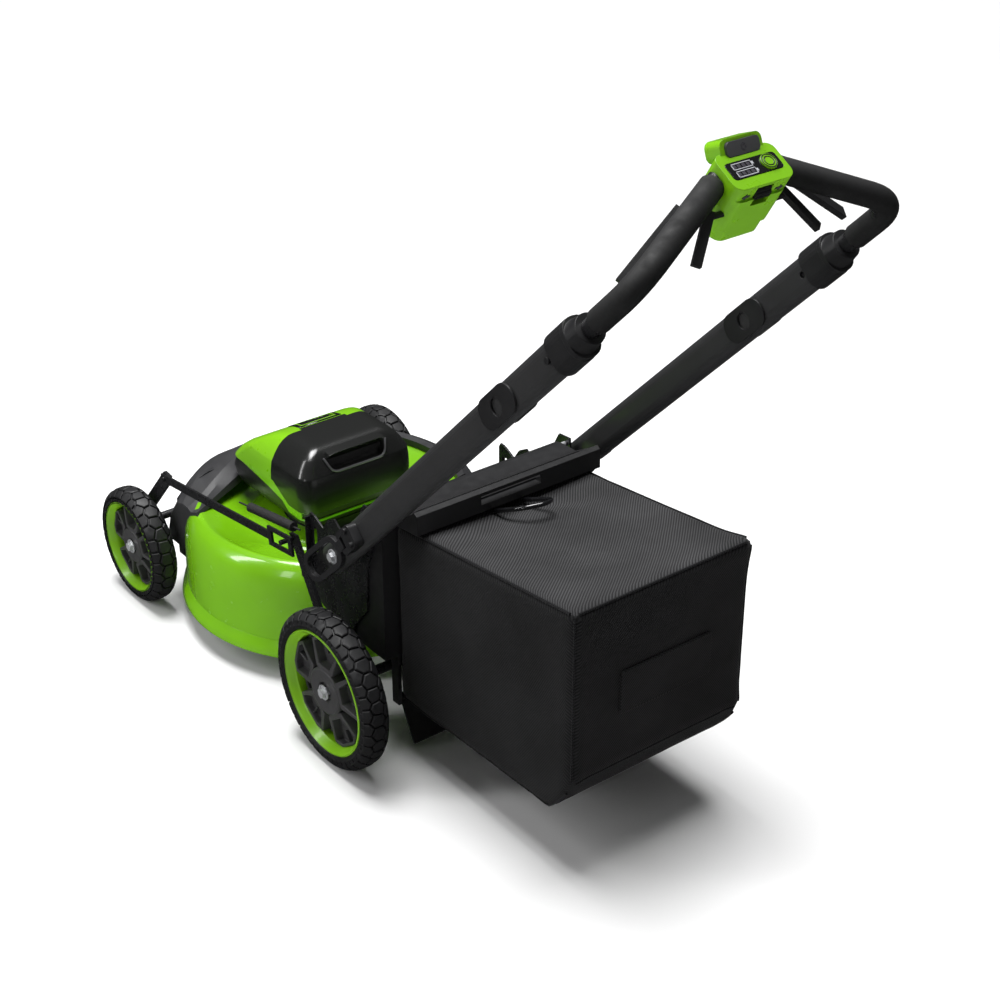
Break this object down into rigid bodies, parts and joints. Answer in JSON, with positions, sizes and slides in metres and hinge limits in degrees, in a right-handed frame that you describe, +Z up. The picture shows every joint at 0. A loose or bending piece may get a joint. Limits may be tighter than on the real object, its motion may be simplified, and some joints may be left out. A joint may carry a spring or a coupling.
{
  "type": "battery lawn mower",
  "caption": "Walk-behind battery rotary mower with round deck, four wheels, height adjustment, folding telescopic handle and rear grass bag.",
  "frame": {"origin": "on the ground under the middle of the whole machine", "axes": "+X to the operator's left, +Y to the rear towards the operator, +Z up"},
  "size_m": [0.55, 1.2927, 1.0692],
  "materials": {
    "green_paint": "glossy lime-green paint",
    "green_plastic": "glossy lime-green plastic",
    "grey_plastic": "satin dark-grey plastic",
    "black_gloss": "glossy black plastic",
    "smoked_cover": "smoked translucent plastic",
    "black_plastic": "satin black plastic",
    "black_steel": "black powder coat",
    "rail_aluminium": "satin anthracite powder coat",
    "steel": "bright zinc-plated steel",
    "tyre": "black moulded tread",
    "rubber": "matt black rubber",
    "foam": "matt closed-cell foam",
    "bag_fabric": "black twill-woven polyester"
  },
  "bodies": {
    "chassis": {"deck": "green_paint", "front_shroud": "grey_plastic", "motor_housing": "green_plastic", "housing_panels": "black_gloss", "display_panel": "black_gloss", "battery": "black_gloss", "motor": "steel", "spindle_bearings": "steel", "rear_chassis": "black_plastic", "handle_brackets": "black_steel", "door_rod": "steel", "door_spring": "steel", "height_spring": "black_steel"},
    "cover": {"battery_cover": "smoked_cover"},
    "blade_assembly": {"blade_spindle": "steel", "blade_adapter": "steel", "blade": "steel", "blade_bolt": "steel"},
    "door": {"rear_door": "black_plastic"},
    "flap": {"trailing_flap": "rubber"},
    "bag": {"grass_bag": "bag_fabric", "bag_frame": "black_steel", "bag_handle": "black_gloss"},
    "front_axle": {"front_axle": "black_steel", "front_axle_bolts": "steel"},
    "rear_axle": {"rear_axle_arms": "black_steel", "rear_axle_bolts": "steel", "drive_gearbox": "black_plastic"},
    "link": {"height_link": "black_steel"},
    "handle": {"rails": "rail_aluminium", "rail_bezels": "black_plastic", "rail_collars": "black_plastic", "lever_mounts": "black_plastic", "pivot_bolts": "steel"},
    "left_lever": {"left_release_lever": "black_plastic"},
    "right_lever": {"right_release_lever": "black_plastic"},
    "left_lock": {"left_lock_button": "black_plastic"},
    "right_lock": {"right_lock_button": "black_plastic"},
    "upper_handle": {"upper_handle": "black_steel", "foam_grips": "foam", "control_head": "green_plastic", "head_label": "black_gloss"},
    "start": {"start_button": "grey_plastic"},
    "boost": {"boost_button": "green_plastic"},
    "speed": {"speed_wheel": "black_plastic"},
    "drive_lever": {"drive_bail": "black_plastic"},
    "blade_lever": {"blade_bail": "black_plastic"},
    "front_left_wheel": {"front_left_tyre": "tyre", "front_left_rim": "green_plastic", "front_left_spokes": "grey_plastic"},
    "front_right_wheel": {"front_right_tyre": "tyre", "front_right_rim": "green_plastic", "front_right_spokes": "grey_plastic"},
    "rear_left_wheel": {"rear_left_tyre": "tyre", "rear_left_rim": "green_plastic", "rear_left_spokes": "grey_plastic"},
    "rear_right_wheel": {"rear_right_tyre": "tyre", "rear_right_rim": "green_plastic", "rear_right_spokes": "grey_plastic"}
  },
  "joints": [
    {"name": "cover_hinge", "type": "hinge", "parent": "chassis", "child": "cover", "pos_m": [0, -0.337, 0.329], "axis": [1, 0, 0], "range_deg": [0, 80]},
    {"name": "blade_spin", "type": "hinge", "parent": "chassis", "child": "blade_assembly", "pos_m": [0, -0.328, 0.062], "axis": [0, 0, 1], "continuous": true},
    {"name": "door_hinge", "type": "hinge", "parent": "chassis", "child": "door", "pos_m": [0, 0.063, 0.405], "axis": [1, 0, 0], "range_deg": [0, 60], "stiffness_Nm_per_rad": 0.8, "springref_deg": -22.92},
    {"name": "flap_hinge", "type": "hinge", "parent": "chassis", "child": "flap", "pos_m": [0, 0.079, 0.084], "axis": [1, 0, 0], "range_deg": [0, 50]},
    {"name": "bag_pull", "type": "slide", "parent": "chassis", "child": "bag", "axis": [0, 1, 0], "range_m": [0, 0.3]},
    {"name": "height_front", "type": "hinge", "parent": "chassis", "child": "front_axle", "pos_m": [0, -0.615, 0.095], "axis": [-1, 0, 0], "range_deg": [-8, 12]},
    {"name": "height_rear", "type": "hinge", "parent": "chassis", "child": "rear_axle", "pos_m": [0, -0.023, 0.15], "axis": [-1, 0, 0], "range_deg": [-8, 12]},
    {"name": "link_pivot", "type": "hinge", "parent": "front_axle", "child": "link", "pos_m": [0.228, -0.475, 0.249], "axis": [1, 0, 0], "range_deg": [-14, 20]},
    {"name": "handle_fold", "type": "hinge", "parent": "chassis", "child": "handle", "pos_m": [0, 0.02355, 0.3328], "axis": [1, 0, 0], "range_deg": [0, 120]},
    {"name": "left_lever_flip", "type": "hinge", "parent": "handle", "child": "left_lever", "pos_m": [0.2325, 0.0699, 0.37979], "axis": [0, -0.712, 0.7022], "range_deg": [0, 100]},
    {"name": "right_lever_flip", "type": "hinge", "parent": "handle", "child": "right_lever", "pos_m": [-0.2325, 0.0699, 0.37979], "axis": [0, 0.712, -0.7022], "range_deg": [0, 100]},
    {"name": "left_lock_press", "type": "slide", "parent": "handle", "child": "left_lock", "axis": [-1, 0, 0], "range_m": [0, 0.002], "stiffness_N_per_m": 300},
    {"name": "right_lock_press", "type": "slide", "parent": "handle", "child": "right_lock", "axis": [1, 0, 0], "range_m": [0, 0.002], "stiffness_N_per_m": 300},
    {"name": "handle_telescope", "type": "slide", "parent": "handle", "child": "upper_handle", "axis": [0, 0.7022, 0.712], "range_m": [0, 0.12]},
    {"name": "start_press", "type": "slide", "parent": "upper_handle", "child": "start", "axis": [0, -0.9336, -0.3584], "range_m": [0, 0.0015], "stiffness_N_per_m": 300},
    {"name": "boost_press", "type": "slide", "parent": "upper_handle", "child": "boost", "axis": [0, -0.515, -0.8572], "range_m": [0, 0.003], "stiffness_N_per_m": 300},
    {"name": "speed_turn", "type": "hinge", "parent": "upper_handle", "child": "speed", "pos_m": [0, 0.60915, 1.01508], "axis": [1, 0, 0], "range_deg": [-60, 60]},
    {"name": "drive_squeeze", "type": "hinge", "parent": "upper_handle", "child": "drive_lever", "pos_m": [0, 0.57715, 0.99581], "axis": [1, 0, 0], "range_deg": [0, 32], "stiffness_Nm_per_rad": 0.3, "springref_deg": -17.19},
    {"name": "blade_squeeze", "type": "hinge", "parent": "upper_handle", "child": "blade_lever", "pos_m": [0, 0.59602, 0.99031], "axis": [1, 0, 0], "range_deg": [0, 36], "stiffness_Nm_per_rad": 0.3, "springref_deg": -17.19},
    {"name": "front_left_roll", "type": "hinge", "parent": "front_axle", "child": "front_left_wheel", "pos_m": [0, -0.545, 0.1015], "axis": [1, 0, 0], "continuous": true},
    {"name": "front_right_roll", "type": "hinge", "parent": "front_axle", "child": "front_right_wheel", "pos_m": [0, -0.545, 0.1015], "axis": [1, 0, 0], "continuous": true},
    {"name": "rear_left_roll", "type": "hinge", "parent": "rear_axle", "child": "rear_left_wheel", "pos_m": [0, 0.051, 0.127], "axis": [1, 0, 0], "continuous": true},
    {"name": "rear_right_roll", "type": "hinge", "parent": "rear_axle", "child": "rear_right_wheel", "pos_m": [0, 0.051, 0.127], "axis": [1, 0, 0], "continuous": true}
  ],
  "couplings": [
    {"joint": "height_rear", "follows": "height_front", "ratio": 1},
    {"joint": "link_pivot", "follows": "height_front", "ratio": 1.57}
  ]
}
